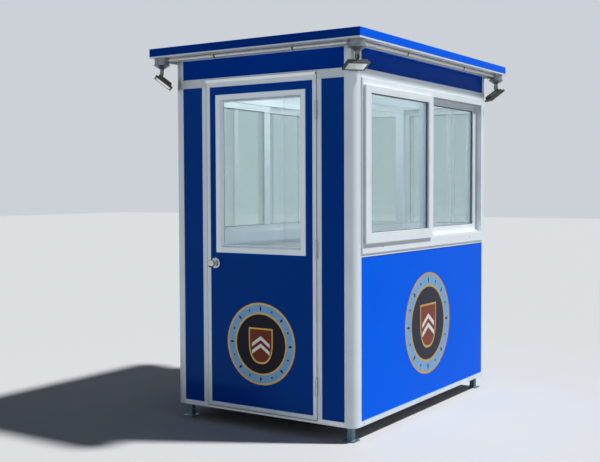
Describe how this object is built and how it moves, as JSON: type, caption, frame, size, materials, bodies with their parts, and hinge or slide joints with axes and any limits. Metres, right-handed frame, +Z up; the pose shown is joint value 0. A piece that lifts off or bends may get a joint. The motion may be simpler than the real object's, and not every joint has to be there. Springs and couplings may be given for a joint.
{
  "type": "security guard booth",
  "caption": "Small guard booth on legs with an aluminium frame, blue panels, sliding windows, a glazed hinged door and a flat overhanging roof with corner floodlights.",
  "frame": {"origin": "on the ground, below the middle of the booth", "axes": "+X to the right seen from the door side, +Y from the door wall to the rear wall, +Z up"},
  "size_m": [1.5912, 2.2062, 2.366],
  "materials": {
    "frame_aluminium": "satin anodised extrusion",
    "leg_steel": "grey paint, matt",
    "floor_plate": "tread plate",
    "panel_blue": "gloss coated sheet",
    "lining_white": "satin white sheet",
    "soffit_white": "satin white sheet",
    "roof_blue": "gloss coated sheet",
    "window_vinyl": "satin white extrusion",
    "window_glass": "clear, faint green",
    "conduit_grey": "galvanised",
    "box_grey": "grey cast box",
    "lamp_housing": "dark powder coat",
    "lamp_lens": "pale diffuser",
    "door_aluminium": "satin anodised extrusion",
    "door_blue": "gloss coated sheet",
    "door_glass": "clear, faint green",
    "hardware_steel": "satin",
    "knob_steel": "satin"
  },
  "bodies": {
    "booth": {"window_locks": "window_vinyl", "legs": "leg_steel", "base_frame": "frame_aluminium", "floor_deck": "floor_plate", "corner_post_front_left": "frame_aluminium", "corner_post_front_right": "frame_aluminium", "corner_post_rear_left": "frame_aluminium", "corner_post_rear_right": "frame_aluminium", "front_transom": "frame_aluminium", "window_transoms": "frame_aluminium", "window_sill_rails": "frame_aluminium", "eave_rails": "frame_aluminium", "door_jamb_left": "frame_aluminium", "door_jamb_right": "frame_aluminium", "front_left_panel": "panel_blue", "front_right_panel": "panel_blue", "right_lower_panel": "panel_blue", "rear_lower_panel": "panel_blue", "left_lower_panel": "panel_blue", "top_panels": "panel_blue", "wall_lining": "lining_white", "roof_panel": "soffit_white", "roof_cap": "roof_blue", "conduit": "conduit_grey", "floodlight_mounts": "box_grey", "floodlight_heads": "lamp_housing", "floodlight_lenses": "lamp_lens", "frame_hinge_leaves": "hardware_steel", "right_window_frame": "window_vinyl", "right_window_sashes": "window_vinyl", "right_window_glass": "window_glass", "rear_window_frame": "window_vinyl", "rear_window_sashes": "window_vinyl", "rear_window_glass": "window_glass", "left_window_frame": "window_vinyl", "left_window_sashes": "window_vinyl", "left_window_glass": "window_glass"},
    "door": {"door_frame": "door_aluminium", "door_drip_cap": "frame_aluminium", "door_panel": "door_blue", "door_window_frame": "door_aluminium", "door_glass": "door_glass", "door_knob_roses": "hardware_steel", "door_hinge_leaves": "hardware_steel"},
    "knob": {"door_knob": "knob_steel"}
  },
  "joints": [
    {"name": "door_hinge", "type": "hinge", "parent": "booth", "child": "door", "pos_m": [0.4075, -0.973, 1.122], "axis": [0, 0, 1], "range_deg": [0, 110]},
    {"name": "knob_turn", "type": "hinge", "parent": "door", "child": "knob", "pos_m": [-0.344, -0.946, 1.011], "axis": [0, -1, 0], "range_deg": [-60, 60], "stiffness_Nm_per_rad": 0.4}
  ]
}
